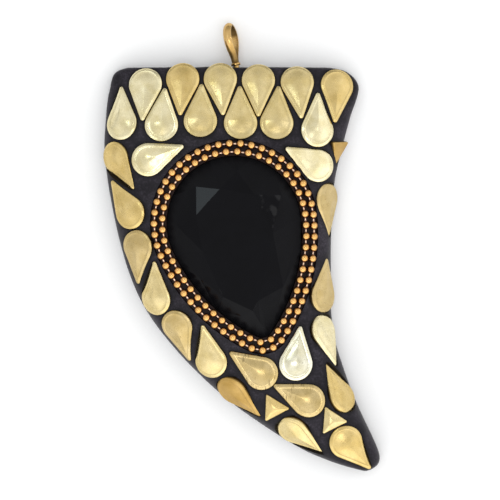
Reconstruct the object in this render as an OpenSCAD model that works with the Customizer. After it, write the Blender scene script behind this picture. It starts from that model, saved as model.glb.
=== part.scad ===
// Horn pendant: a domed resin horn, set with brass drops and triangles, a pear
// cut stone in a double row of ball chain, and a strip bail pegged in its top edge.
// It lies on its flat back at z = 0, with the front up and the bail toward +Y.
// Lengths in millimetres.

/* [Horn] */
// Height of the side wall, from the flat back to where the dome starts
wall_h = 2.4; // [1.8:0.1:4]
// Rise of the domed front above the side wall, where the horn is thickest
crown_h = 6.2; // [4.5:0.1:8]
// Size of the rounding along the edge of the back
back_round = 0.8; // [0.3:0.1:1.4]

/* [Brass drops] */
// Length of a drop, from its round end to its tip
drop_l = 10.4; // [8:0.1:14]
// Width of a drop across its round end
drop_w = 6.45; // [5:0.05:9]
// Radius of a drop's tip
drop_tip_r = 0.45; // [0.2:0.05:0.8]
// Side of a brass triangle
triangle_side = 5.2; // [3:0.1:6.5]
// Width of the resin joint that the mosaic leaves beside each brass piece
joint = 0.4; // [0.3:0.05:1]
// Depth of a brass piece below the resin surface
brass_depth = 0.65; // [0.4:0.05:1]
// Height of its upright rim above the resin surface
brass_rim = 0.25; // [0.1:0.05:0.6]
// Width of the sloping border inside the rim
bevel_w = 0.8; // [0.4:0.05:1.2]
// Rise of the sloping border
bevel_rise = 0.28; // [0.1:0.02:0.5]
// Rise of the soft dome inside the border
dome_rise = 0.3; // [0.1:0.05:0.6]
// Play round a brass piece in its pocket
pocket_play = 0.04; // [0.02:0.01:0.1]

/* [Ball chain] */
// Diameter of a ball
ball_d = 1.48; // [1.1:0.02:1.8]
// Distance between neighbouring balls, centre to centre
ball_pitch = 2.08; // [1.9:0.02:2.8]
// Diameter of the pins that join the balls
pin_d = 0.42; // [0.3:0.02:0.6]
// Play round a pin in its ball
pin_play = 0.07; // [0.04:0.01:0.12]
// Length of a pin inside each ball
pin_grip = 0.3; // [0.15:0.05:0.45]
// Gap between the two rows of balls
row_gap = 0.06; // [0.04:0.01:0.4]
// Depth of the channel that the balls lie in
channel_depth = 0.4; // [0.2:0.05:0.7]

/* [Stone] */
// Height of the stone from its flat back to its table
stone_t = 4.8; // [3.5:0.1:6.5]
// Height of the cut crown, from the girdle to the table
stone_crown = 2.3; // [1.5:0.1:3.2]
// Thickness of the horn left under the stone
under_stone = 5.2; // [4:0.1:6.5]
// Play round the stone in its pocket
stone_play = 0.06; // [0.04:0.01:0.15]

/* [Bail] */
// Height of the strip loop
loop_h = 7.8; // [6:0.1:11]
// Depth of the strip loop, from front to back
loop_d = 3.9; // [3.4:0.1:6]
// Width of the strip
strip_w = 1.6; // [0.9:0.05:2]
// Thickness of the strip
strip_t = 0.6; // [0.4:0.05:0.9]
// Height of the neck between the horn and the loop
neck_h = 0.9; // [0.6:0.1:2]
// Diameter of the peg
peg_d = 1.1; // [0.8:0.05:1.5]
// Length of the peg inside the horn
peg_l = 3.6; // [2:0.1:5]
// Play round the peg in its bore
peg_play = 0.04; // [0.02:0.01:0.1]
// Diameter of the collar under the loop
collar_d = 1.8; // [1.6:0.05:2.4]
// Lean of the bail toward the straight side of the horn
bail_lean = 10.6; // [0:0.2:20]
// Turn of the loop about the peg
bail_turn = 24; // [0:1:40]

/* [Hidden] */
// Gap between pieces that lie close without holding each other
clear = 0.08;
// Collar height, and how far a blind bore runs past its peg
collar_h = 0.5;
bore_past = 0.1;

// Share of the horn's length that one piece and its joint take in the mosaic
cell_l = 0.1406;
cell_w = 0.0892;
cell_side = 0.073;
horn_l = max(
    (drop_l + joint) / cell_l,
    (drop_w + joint) / cell_w,
    (triangle_side + joint) / cell_side);
// Place of the top edge above the origin, as a share of the horn's length
top_share = 0.4436;
top_y = top_share * horn_l;

// Sections of the horn from the top edge to the tip. Columns, as shares of
// horn_l: distance down from the top edge, x of the left side, x of the right
// side. Last column: rise of the dome as a share of crown_h.
SECTIONS = [
    [0.000, -0.282, 0.222, 0.36],
    [0.006, -0.302, 0.252, 0.39],
    [0.016, -0.315, 0.270, 0.43],
    [0.031, -0.321, 0.285, 0.49],
    [0.050, -0.325, 0.292, 0.56],
    [0.080, -0.331, 0.286, 0.67],
    [0.120, -0.335, 0.272, 0.81],
    [0.199, -0.339, 0.251, 0.95],
    [0.278, -0.331, 0.233, 1.00],
    [0.358, -0.317, 0.226, 1.00],
    [0.437, -0.299, 0.223, 1.00],
    [0.516, -0.275, 0.223, 1.00],
    [0.595, -0.239, 0.223, 0.99],
    [0.674, -0.183, 0.233, 0.97],
    [0.753, -0.111, 0.257, 0.92],
    [0.832, -0.022, 0.287, 0.84],
    [0.911, 0.092, 0.324, 0.71],
    [0.951, 0.161, 0.341, 0.60],
    [0.971, 0.208, 0.344, 0.52],
    [0.986, 0.250, 0.338, 0.42],
    [0.996, 0.287, 0.324, 0.30],
    [1.000, 0.303, 0.313, 0.22]];
LEFT = 1;
RIGHT = 2;
CROWN = 3;
// Number of sections that the horn is lofted through, and of steps across its front
STATIONS = 36;
ACROSS = 18;
// Rounding of the back as a part of the half width, where the horn is narrow
narrow_round = 0.5;

// Brass drops. Columns: name, x and y of the centre of the round end as shares
// of horn_l, direction of the tip in degrees from +X. Fifth column, where given: how
// far the piece is rolled over the horn's edge about its inner side, in degrees.
DROPS = [
    ["drop_top_1", -0.236, 0.400, -94.6],
    ["drop_top_2", -0.144, 0.413, -93.8],
    ["drop_top_3", -0.051, 0.413, -85.7],
    ["drop_top_4", 0.043, 0.410, -90],
    ["drop_top_5", 0.139, 0.405, -83.6],
    ["drop_top_6", 0.237, 0.397, -93.2],
    ["drop_second_1", -0.294, 0.304, 90.9],
    ["drop_second_2", -0.196, 0.300, 84.7],
    ["drop_second_3", -0.100, 0.310, 88.3],
    ["drop_second_4", -0.001, 0.305, 91.3],
    ["drop_second_5", 0.088, 0.305, 87],
    ["drop_second_6", 0.188, 0.287, 89],
    ["drop_left_1", -0.228, 0.214, 21],
    ["drop_left_2", -0.309, 0.218, -58.8],
    ["drop_left_3", -0.273, 0.084, 120],
    ["drop_left_4", -0.254, 0.000, -89.3],
    ["drop_left_5", -0.209, -0.128, 92.2],
    ["drop_left_6", -0.157, -0.196, -69.5],
    ["drop_lower_1", -0.073, -0.283, 103.5],
    ["drop_lower_2", -0.021, -0.356, -41],
    ["drop_lower_3", 0.050, -0.312, 146.4],
    ["drop_lower_4", 0.135, -0.289, 83.1],
    ["drop_lower_5", 0.166, -0.380, 155.8],
    ["drop_lower_6", 0.128, -0.454, -34.6],
    ["drop_lower_7", 0.250, -0.371, 118],
    ["drop_lower_8", 0.259, -0.483, -47.2],
    ["drop_right_1", 0.188, 0.200, 151.6],
    ["drop_right_2", 0.217, 0.116, -88.5, 10],
    ["drop_right_3", 0.202, -0.122, 84.8],
    ["drop_right_4", 0.204, -0.208, -71.9]];

// Brass triangles. Columns: name, x and y of the middle as shares of horn_l,
// direction of one corner in degrees, rise of the point as a share of the side.
TRIANGLES = [
    ["triangle_edge", 0.241, 0.2395, 40.5, 0.03],
    ["triangle_left", 0.081, -0.398, -2, 0.12],
    ["triangle_right", 0.224, -0.4295, -4, 0.12]];

// Pear shaped field of the chain and the stone. Shares of horn_l: middle of the
// round end, radii of the round end, of the tip and of the long sides, distance
// between the middles of the two ends.
field_mid = [-0.0173 * horn_l, 0.0574 * horn_l];
field_round_r = 0.2069 * horn_l;
field_tip_r = 0.0699 * horn_l;
field_side_r = 0.4754 * horn_l;
field_reach = 0.2627 * horn_l;
// Direction of the pear's tip
field_dir = -74.86;
// Middle of the long side's arc, and the outward directions where the tip ends
// and where the side ends, all from the middle of the round end
side_to_round = field_side_r - field_round_r;
side_to_tip = field_side_r - field_tip_r;
side_x = (pow(side_to_round, 2) - pow(side_to_tip, 2) + pow(field_reach, 2)) / (2 * field_reach);
side_mid = [side_x, -sqrt(pow(side_to_round, 2) - pow(side_x, 2))];
tip_end = atan2(-side_mid.y, field_reach - side_mid.x);
side_end = atan2(-side_mid.y, -side_mid.x);

outer_inset = ball_d / 2 + clear;
inner_inset = outer_inset + ball_d + row_gap;
stone_inset = inner_inset + ball_d / 2 + clear;
channel_inset = stone_inset + 3 * clear;
CHANNEL_STATIONS = 48;

// Corners of the stone's table. Columns: outward direction of the girdle beside
// the corner, in degrees from the tip, and how far out the corner lies from the
// middle of the stone to there.
TABLE = [
    [-174, 0.68], [-129, 0.65], [-80, 0.57], [-56, 0.77],
    [-36, 0.70], [30, 0.60], [80, 0.53], [140, 0.63]];
// Steps of the girdle in each sector of the crown. Outer corners of the star
// facets: share of the way out, and share of the crown's fall.
GIRDLE_STEPS = 5;
STAR = [0.84, 0.42];
stone_mid = [field_mid.x + 0.018 * horn_l, field_mid.y - 0.066 * horn_l];
SECTORS = [for (i = [0:len(TABLE) - 1])
    let (next = (i + 1) % len(TABLE)) [TABLE[i][0], TABLE[next][0] + (next == 0 ? 360 : 0)]];
GIRDLE = [for (sector = SECTORS) for (k = [0:GIRDLE_STEPS - 1])
    sector[0] + (sector[1] - sector[0]) * k / GIRDLE_STEPS];

// Points round a drop: steps round its round end and round its tip
ROUND_STEPS = 14;
TIP_STEPS = 4;
// Taper of a brass piece toward its back, and smallest radius of its inner rings
back_taper = 0.12;
least_r = 0.04;
// Rings of the soft dome: share of the way in, share of the rise
DOME = [[0.45, 0.75], [0.9, 1]];

// Outline of the bail's loop from its foot to its top. Columns: share of its
// height, share of half its depth.
LOOP = [
    [-0.04, 0.3], [0.12, 0.33], [0.3, 0.64], [0.46, 0.9], [0.58, 1],
    [0.7, 0.98], [0.82, 0.82], [0.91, 0.58], [0.97, 0.3], [1, 0.08]];
loop_r = loop_d / 2;
bail_x = -0.0115 * horn_l;
bail_z = max((wall_h + crown_h * SECTIONS[0][CROWN]) / 2, loop_r + clear);

// Slope of column c of the section table at row i
function slope(c, i) =
    let (a = max(i - 1, 0), b = min(i + 1, len(SECTIONS) - 1))
    (SECTIONS[b][c] - SECTIONS[a][c]) / (SECTIONS[b][0] - SECTIONS[a][0]);

// Column c of the section table at any distance down, on a smooth curve
function section(c, down) =
    let (
        d = min(max(down, 0), 1),
        i = max([for (k = [0:len(SECTIONS) - 2]) if (d >= SECTIONS[k][0]) k]),
        a = SECTIONS[i],
        b = SECTIONS[i + 1],
        span = b[0] - a[0],
        t = (d - a[0]) / span)
    a[c] * (1 + 2 * t) * pow(1 - t, 2) + b[c] * (3 - 2 * t) * pow(t, 2)
    + span * t * (1 - t) * (slope(c, i) * (1 - t) - slope(c, i + 1) * t);

// Height of the domed front at a share u of the half width from the middle
function dome(down, u) =
    wall_h + crown_h * section(CROWN, down) * sqrt(max(0, 1 - pow(u, 4)));

// Height of the front of the horn over the point [x, y]
function front(p) =
    let (
        down = top_share - p.y / horn_l,
        left = section(LEFT, down) * horn_l,
        right = section(RIGHT, down) * horn_l,
        u = (2 * p.x - left - right) / (right - left))
    dome(down, min(max(u, -1), 1));

// Slope of the front along the plan direction d
function front_slope(p, d) = (front(p + d * clear) - front(p - d * clear)) / (2 * clear);

// How much longer a height above the sloping front is than its square distance
function steepness(p) = sqrt(1 + pow(front_slope(p, [1, 0]), 2) + pow(front_slope(p, [0, 1]), 2));

// Section of the horn as a ring of points: over the front, then round the back
function horn_ring(down) =
    let (
        left = section(LEFT, down) * horn_l,
        right = section(RIGHT, down) * horn_l,
        half = (right - left) / 2,
        round = min(back_round, half * narrow_round),
        y = top_y - down * horn_l)
    concat(
        [for (i = [0:ACROSS]) let (u = -cos(180 * i / ACROSS))
            [left + half * (1 + u), y, dome(down, u)]],
        [for (a = [0, 45, 90]) [right - round * (1 - cos(a)), y, round * (1 - sin(a))]],
        [for (a = [90, 45, 0]) [left + round * (1 - cos(a)), y, round * (1 - sin(a))]]);

// Closed solid through rings of equal count, each ring anticlockwise
// as seen from the next one
module ring_solid(rings) {
    n = len(rings[0]);
    last = len(rings) - 1;
    polyhedron(
        points = [for (ring = rings) each ring],
        faces = concat(
            [[for (i = [0:n - 1]) i]],
            [for (j = [0:last - 1]) for (i = [0:n - 1])
                let (a = j * n + i, b = j * n + (i + 1) % n)
                each [[a, a + n, b + n], [a, b + n, b]]],
            [[for (i = [n - 1:-1:0]) last * n + i]]));
}

// Closed loop through sections of equal count
module loop_solid(loops) {
    n = len(loops[0]);
    k = len(loops);
    polyhedron(
        points = [for (ring = loops) each ring],
        faces = [for (j = [0:k - 1]) for (i = [0:n - 1])
            let (a = j * n + i, b = j * n + (i + 1) % n,
                 c = ((j + 1) % k) * n + i, d = ((j + 1) % k) * n + (i + 1) % n)
            each [[a, b, d], [a, d, c]]]);
}

// Point of the pear at the inset where its outward direction makes the angle a
// with the pear's tip
function pear_at(inset, a) =
    let (
        t = abs(a),
        ray = [cos(t), sin(t)],
        p = t < tip_end ? [field_reach, 0] + (field_tip_r - inset) * ray
            : t < side_end ? side_mid + (field_side_r - inset) * ray
            : (field_round_r - inset) * ray,
        q = [p.x, sign(a) * p.y])
    field_mid + [
        q.x * cos(field_dir) - q.y * sin(field_dir),
        q.x * sin(field_dir) + q.y * cos(field_dir)];

// Lengths of the arcs from the tip to the far end of the pear: half its tip, one
// side, half its round end
function pear_arcs(inset) = PI / 180 * [
    tip_end * (field_tip_r - inset),
    (side_end - tip_end) * (field_side_r - inset),
    (180 - side_end) * (field_round_r - inset)];

// Length round the pear at the inset
function pear_length(inset) = 2 * pear_arcs(inset) * [1, 1, 1];

// Point of the pear at the inset, at a share s of its length from the tip
function pear_point(inset, s) =
    let (
        arcs = pear_arcs(inset),
        h = pear_length(inset) * min(s, 1 - s),
        past_tip = h - arcs[0],
        past_side = past_tip - arcs[1],
        a = past_tip < 0 ? tip_end * h / arcs[0]
            : past_side < 0 ? tip_end + (side_end - tip_end) * past_tip / arcs[1]
            : side_end + (180 - side_end) * past_side / arcs[2])
    pear_at(inset, s < 0.5 ? a : -a);

// Point of the stone beside the girdle's outward direction a, at a share of the
// way out from the stone's middle
function stone_point(a, out, z, inset = stone_inset) =
    let (p = stone_mid + out * (pear_at(inset, a > 180 ? a - 360 : a) - stone_mid)) [p.x, p.y, z];

// Centres of the balls of a row, which rest on the floor of the channel
function ball_centres(inset) =
    let (n = round(pear_length(inset) / ball_pitch))
    [for (i = [0:n - 1])
        let (p = pear_point(inset, (i + 0.5) / n), lift = ball_d / 2 - channel_depth + clear / 2)
        [p.x, p.y, front(p) + lift * steepness(p)]];

// Outline of a drop drawn in by an inset, centred on its round end, tip toward +X
function drop_outline(inset) =
    let (
        r = drop_w / 2,
        reach = drop_l - r - drop_tip_r,
        lean = asin((r - drop_tip_r) / reach),
        r_in = r - inset,
        tip_in = max(drop_tip_r - inset, least_r),
        x_in = (r_in - tip_in) / sin(lean),
        start = 90 - lean)
    concat(
        [for (i = [0:ROUND_STEPS]) let (a = start + (360 - 2 * start) * i / ROUND_STEPS)
            r_in * [cos(a), sin(a)]],
        [for (i = [0:TIP_STEPS]) let (a = -start + 2 * start * i / TIP_STEPS)
            [x_in + tip_in * cos(a), tip_in * sin(a)]]);

// Outline of a triangle drawn in by an inset, its corners just blunted
function triangle_outline(inset) =
    let (r = triangle_side / sqrt(3) - 2 * inset, blunt = drop_tip_r / 2)
    [for (k = [0:2]) each [for (side = [-1, 1])
        (r - blunt) * [cos(120 * k), sin(120 * k)] + blunt * [cos(120 * k + 60 * side), sin(120 * k + 60 * side)]]];

// Ring of an outline at the height z
function at_height(outline, z) = [for (p = outline) [p.x, p.y, z]];

// Seat of a brass piece on the front: height of its middle and its slopes
// forward and sideways, from the surface under its rim
function seat(mid, dir, fore, aft, side, ca = 1, cb = 1, passes = 4) =
    let (
        a = [cos(dir), sin(dir)],
        b = [-sin(dir), cos(dir)],
        tip = front(mid + a * fore * ca),
        end = front(mid - a * aft * ca),
        port = front(mid + b * side * cb),
        star = front(mid - b * side * cb),
        sa = (tip - end) / ((fore + aft) * ca),
        sb = (port - star) / (2 * side * cb),
        h = (tip + end + port + star - sa * (fore - aft) * ca) / 4)
    passes == 0
        ? [h, sa, sb]
        : seat(mid, dir, fore, aft, side, cos(atan(sa)), cos(atan(sb)), passes - 1);

// Moves a piece from its own frame, with z = 0 on the resin, onto its seat
module onto_seat(mid, dir, s) {
    e1 = [cos(dir), sin(dir), s[1]] / norm([1, s[1]]);
    raw = cross(e1, [-sin(dir), cos(dir), s[2]]);
    n = raw / norm(raw);
    e2 = cross(n, e1);
    multmatrix([
        [e1.x, e2.x, n.x, mid.x],
        [e1.y, e2.y, n.y, mid.y],
        [e1.z, e2.z, n.z, s[0]],
        [0, 0, 0, 1]])
        children();
}

module at_drop(row) {
    mid = [row[1], row[2]] * horn_l;
    r = drop_w / 2;
    roll = len(row) > 4 ? row[4] : 0;
    onto_seat(mid, row[3], seat(mid, row[3], drop_l - r, r, r))
        translate([0, -r, 0]) rotate([-roll, 0, 0]) translate([0, r, 0]) children();
}

module at_triangle(row) {
    mid = [row[1], row[2]] * horn_l;
    r = triangle_side / sqrt(3);
    onto_seat(mid, row[3], seat(mid, row[3], r, r / 2, r / 2)) children();
}

// Frame of the bail: origin on the top edge, +Y along the peg
module at_bail() {
    translate([bail_x, top_y, bail_z]) rotate([0, 0, bail_lean]) children();
}

// Round bar between two points
module bar(a, b, d) {
    v = b - a;
    translate(a) rotate([0, acos(v.z / norm(v)), atan2(v.y, v.x)]) cylinder(h = norm(v), d = d, $fn = 24);
}

// Space for a brass piece of the given outline, open above the resin
module pocket(outline) {
    translate([0, 0, -brass_depth - pocket_play])
        linear_extrude(brass_depth + pocket_play + crown_h) polygon(outline);
}

module stone_pocket() {
    translate([0, 0, under_stone])
        linear_extrude(wall_h + 2 * crown_h)
            polygon([for (a = GIRDLE) let (p = stone_point(a, 1, 0, stone_inset - stone_play)) [p.x, p.y]]);
}

module chain_channel() {
    floor_gap = channel_depth + clear / 2;
    loop_solid([for (i = [0:CHANNEL_STATIONS - 1])
        let (
            s = (i + 0.5) / CHANNEL_STATIONS,
            p = pear_point(channel_inset, s),
            q = pear_point(0, s),
            low_p = front(p) - floor_gap * steepness(p),
            low_q = front(q) - floor_gap * steepness(q))
        [[p.x, p.y, low_p], [q.x, q.y, low_q], [q.x, q.y, low_q + crown_h], [p.x, p.y, low_p + crown_h]]]);
}

module peg_bore() {
    at_bail() rotate([90, 0, 0]) translate([0, 0, -peg_d])
        cylinder(h = peg_d + peg_l + bore_past, d = peg_d + 2 * peg_play, $fn = 48);
}

module horn_body() {
    color("#1b1a20") difference() {
        ring_solid([for (i = [STATIONS:-1:0]) horn_ring((1 - cos(180 * i / STATIONS)) / 2)]);
        stone_pocket();
        chain_channel();
        for (row = DROPS) at_drop(row) pocket(drop_outline(-pocket_play));
        for (row = TRIANGLES) at_triangle(row) pocket(triangle_outline(-pocket_play));
        peg_bore();
    }
}

module brass_drop(row) {
    r = drop_w / 2;
    bevel_z = brass_rim + bevel_rise;
    color("#d9bd78") at_drop(row) ring_solid([
        at_height(drop_outline(back_taper), -brass_depth),
        at_height(drop_outline(0), -brass_depth / 3),
        at_height(drop_outline(0), brass_rim),
        at_height(drop_outline(bevel_w), bevel_z),
        for (ring = DOME)
            at_height(drop_outline(bevel_w + (r - bevel_w) * ring[0]), bevel_z + dome_rise * ring[1])]);
}

module brass_triangle(row) {
    inner = triangle_side / sqrt(3) / 2;
    color("#c98b3a") at_triangle(row) ring_solid([
        at_height(triangle_outline(back_taper), -brass_depth),
        at_height(triangle_outline(0), -brass_depth / 3),
        at_height(triangle_outline(0), brass_rim),
        at_height(triangle_outline(inner * DOME[1][0]), brass_rim + triangle_side * row[4])]);
}

module stone() {
    n = len(TABLE);
    m = len(GIRDLE);
    low = under_stone + stone_play;
    top = low + stone_t;
    star_z = top - stone_crown * STAR[1];
    star_0 = 2 * m;
    table_0 = 2 * m + n;
    color("#0c0c10") polyhedron(
        points = concat(
            [for (a = GIRDLE) stone_point(a, 1, low)],
            [for (a = GIRDLE) stone_point(a, 1, top - stone_crown)],
            [for (sector = SECTORS) stone_point((sector[0] + sector[1]) / 2, STAR[0], star_z)],
            [for (row = TABLE) stone_point(row[0], row[1], top)]),
        faces = concat(
            [[for (i = [0:m - 1]) i]],
            [for (i = [0:m - 1]) let (b = (i + 1) % m) [i, i + m, b + m, b]],
            [for (i = [0:n - 1]) for (k = [0:GIRDLE_STEPS - 1])
                let (a = i * GIRDLE_STEPS + k) [m + a, star_0 + i, m + (a + 1) % m]],
            [for (i = [0:n - 1]) let (before = (i + n - 1) % n, rim_i = m + i * GIRDLE_STEPS) each [
                [rim_i, star_0 + before, table_0 + i],
                [rim_i, table_0 + i, star_0 + i],
                [star_0 + i, table_0 + i, table_0 + (i + 1) % n]]],
            [[for (i = [n - 1:-1:0]) table_0 + i]]));
}

// Point on the way from one ball to the next, at a depth below the ball's surface
function below(from, to, depth) = from + (to - from) / norm(to - from) * (ball_d / 2 - depth);

module ball_row(inset) {
    c = ball_centres(inset);
    n = len(c);
    for (i = [0:n - 1])
        let (before = c[(i + n - 1) % n], after = c[(i + 1) % n], way = after - before)
        difference() {
            translate(c[i]) rotate([0, 0, atan2(way.y, way.x) - 90]) sphere(d = ball_d, $fn = 64);
            for (other = [before, after])
                bar(below(c[i], other, pin_grip + pin_play), other, pin_d + 2 * pin_play);
        }
}

module pin_row(inset) {
    c = ball_centres(inset);
    n = len(c);
    for (i = [0:n - 1])
        let (a = c[i], b = c[(i + 1) % n])
        bar(below(a, b, pin_grip), below(b, a, pin_grip), pin_d);
}

module chain_outer_balls() color("#b5712c") ball_row(outer_inset);

module chain_outer_pins() color("#a8662a") pin_row(outer_inset);

module chain_inner_balls() color("#b5712c") ball_row(inner_inset);

module chain_inner_pins() color("#a8662a") pin_row(inner_inset);

// Outline of the loop, drawn in by an inset
function loop_outline(inset) =
    let (
        low = 1.5 * inset,
        high = loop_h - inset,
        side = [for (row = LOOP) [max(row[1] * loop_r - inset, least_r), low + row[0] * (high - low)]])
    concat(side, [for (i = [len(side) - 1:-1:0]) [-side[i].x, side[i].y]]);

module bail() {
    color("#b98a3e") at_bail() {
        translate([0, neck_h, 0]) rotate([0, 90 - bail_turn, 0]) linear_extrude(strip_w, center = true)
            difference() {
                polygon(loop_outline(0));
                polygon(loop_outline(strip_t));
            }
        rotate([-90, 0, 0]) translate([0, 0, -peg_l]) cylinder(h = peg_l + neck_h, d = peg_d, $fn = 48);
        rotate([-90, 0, 0]) translate([0, 0, neck_h - collar_h]) cylinder(h = collar_h, d = collar_d, $fn = 48);
    }
}

horn_body();
stone();
bail();
chain_outer_balls();
chain_outer_pins();
chain_inner_balls();
chain_inner_pins();
for (row = DROPS) brass_drop(row);
for (row = TRIANGLES) brass_triangle(row);
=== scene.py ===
import math

import bmesh
import bpy
import numpy as np
from bpy.props import FloatProperty, FloatVectorProperty, PointerProperty
from mathutils import Matrix, Vector


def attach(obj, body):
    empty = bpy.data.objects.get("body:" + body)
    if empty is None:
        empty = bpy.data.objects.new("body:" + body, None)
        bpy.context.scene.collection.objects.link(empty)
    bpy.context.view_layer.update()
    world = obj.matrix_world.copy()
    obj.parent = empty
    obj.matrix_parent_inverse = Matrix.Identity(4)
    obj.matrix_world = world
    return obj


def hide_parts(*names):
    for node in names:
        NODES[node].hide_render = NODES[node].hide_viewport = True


bl_info = {
    "name": "Horn pendant finish",
    "version": (1, 0, 0),
    "blender": (4, 5, 0),
    "location": "View3D > Sidebar > Pendant",
    "description": "Dresses the packed horn pendant: resin, brass inlays, ball chain, stone and bail",
    "category": "Object",
}

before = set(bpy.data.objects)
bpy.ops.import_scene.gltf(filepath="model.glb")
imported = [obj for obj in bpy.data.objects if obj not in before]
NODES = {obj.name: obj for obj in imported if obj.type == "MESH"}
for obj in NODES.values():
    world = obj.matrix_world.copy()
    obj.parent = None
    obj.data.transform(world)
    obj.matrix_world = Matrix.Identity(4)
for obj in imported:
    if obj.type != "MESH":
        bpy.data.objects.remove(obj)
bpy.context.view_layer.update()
BODY = "root"
MM = 0.001
SEED = 11

# Outline and crown of the horn from the top edge to the tip, as shares of its length: distance down, left
# side, right side. Last column: rise of the dome as a share of its full rise.
SECTIONS = np.array([
    (0.000, -0.282, 0.222, 0.36), (0.006, -0.302, 0.252, 0.39), (0.016, -0.315, 0.270, 0.43),
    (0.031, -0.321, 0.285, 0.49), (0.050, -0.325, 0.292, 0.56), (0.080, -0.331, 0.286, 0.67),
    (0.120, -0.335, 0.272, 0.81), (0.199, -0.339, 0.251, 0.95), (0.278, -0.331, 0.233, 1.00),
    (0.358, -0.317, 0.226, 1.00), (0.437, -0.299, 0.223, 1.00), (0.516, -0.275, 0.223, 1.00),
    (0.595, -0.239, 0.223, 0.99), (0.674, -0.183, 0.233, 0.97), (0.753, -0.111, 0.257, 0.92),
    (0.832, -0.022, 0.287, 0.84), (0.911, 0.092, 0.324, 0.71), (0.951, 0.161, 0.341, 0.60),
    (0.971, 0.208, 0.344, 0.52), (0.986, 0.250, 0.338, 0.42), (0.996, 0.287, 0.324, 0.30),
    (1.000, 0.303, 0.313, 0.22)])
DOWN, LEFT, RIGHT, CROWN = range(4)

# Finish of each brass piece: name of its colour in the settings, roughness, dark specks, dark strokes, and
# the pieces that have it. All others are mid brass. The pieces differ in tone, and the pale and dull
# colours also paint light and shade: pale on pieces that catch the most light, dull on pieces that lie
# darker.
FINISHES = {
    "mid_brass": ("mid", 0.26, 0.45, 0.0, ()),
    "golden_brass": ("golden", 0.28, 0.55, 0.0, (
        "drop_top_2", "drop_top_6", "drop_left_2", "drop_left_3", "drop_lower_7", "drop_lower_8",
        "triangle_left")),
    "pale_brass": ("pale", 0.24, 0.3, 0.0, (
        "drop_top_1", "drop_second_1", "drop_second_2", "drop_second_6", "drop_left_1", "drop_right_1",
        "drop_right_4")),
    "dull_brass": ("dull", 0.3, 0.6, 0.0, ("drop_left_4", "drop_left_6", "drop_right_2", "drop_right_3")),
    "orange_brass": ("orange", 0.45, 0.5, 0.0, ("drop_lower_2", "triangle_edge")),
    "silver_brass": ("silver", 0.22, 0.9, 0.0, ("drop_lower_4",)),
    "scratched_brass": ("dull", 0.26, 0.7, 0.5, ("drop_lower_3", "drop_lower_5")),
}
# Drops that were filed rounder than the others, and drops with a flat beaten across their round end
ROUNDER = ("drop_left_1", "drop_left_5", "drop_right_1", "drop_second_1", "drop_second_6", "drop_lower_4",
           "drop_lower_6")
BEATEN = ("drop_second_2", "drop_second_3", "drop_second_4", "drop_second_5")

# Outline of the bail's loop from its foot to its top, as shares of its height and of half its depth
LOOP = (
    (-0.04, 0.3), (0.12, 0.33), (0.3, 0.64), (0.46, 0.9), (0.58, 1.0), (0.7, 0.98), (0.82, 0.82),
    (0.91, 0.58), (0.97, 0.3))

# Rings of a drop's face, as shares of the ring inside its border
FACE_RINGS = (0.95, 0.9, 0.84, 0.76, 0.67, 0.57, 0.46, 0.34, 0.22, 0.1)
# Height of each triangle's peak above its rim, as a share of its side, and the rings up to it
PEAKS = {"triangle_edge": 0.03, "triangle_left": 0.12, "triangle_right": 0.12}
PEAK_RINGS = (0.2, 0.5, 0.8, 1.0)
# Waist of a pin: place along its length from its middle, and width, as shares
WAIST = ((-0.22, 1.0), (-0.1, 0.82), (0.1, 0.82), (0.22, 1.0))

# Soft lights: name, place and width and height in metres, setting of the power, colour
LIGHTS = (
    ("key_light", (-0.182, 0.16, 0.43), 0.08, 0.08, "key", (0.82, 0.95, 1.0)),
    ("side_light", (0.222, 0.106, 0.43), 0.07, 0.07, "side", (1.0, 1.0, 1.0)),
    ("window_light", (0.0, -0.09, 0.5), 0.2, 0.09, "window", (1.0, 1.0, 1.0)))
# Brightness of the room from one direction to another: axis, where it starts and ends, and its two values
ROOM = (
    (1, -0.65, -0.3, 1.2, 1.0), (1, 0.6, 0.9, 1.0, 0.4), (2, 0.6, 0.86, 1.5, 0.95),
    (1, -0.28, 0.24, 1.18, 0.96), (2, 0.0, 0.3, 0.55, 1.0), (0, -0.75, -0.3, 0.7, 1.0))


# Settings


def size(name, description, mm):
    """A length property, given in millimetres and kept in metres."""
    return FloatProperty(name=name, description=description, default=mm * MM, precision=6, unit="LENGTH")


def share(name, description, value):
    return FloatProperty(name=name, description=description, default=value, min=0, max=1, subtype="FACTOR")


def turned(name, description, degrees):
    return FloatProperty(name=name, description=description, default=math.radians(degrees), unit="ROTATION")


def tint(name, description, value):
    return FloatVectorProperty(name=name, description=description, default=value, min=0, max=1,
                               subtype="COLOR")


def spot(name, description, mm):
    """A place, given in millimetres and kept in metres."""
    return FloatVectorProperty(name=name, description=description, default=[k * MM for k in mm],
                               subtype="TRANSLATION")


def power(name, description, watts):
    return FloatProperty(name=name, description=description, default=watts, min=0, subtype="POWER")


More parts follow.
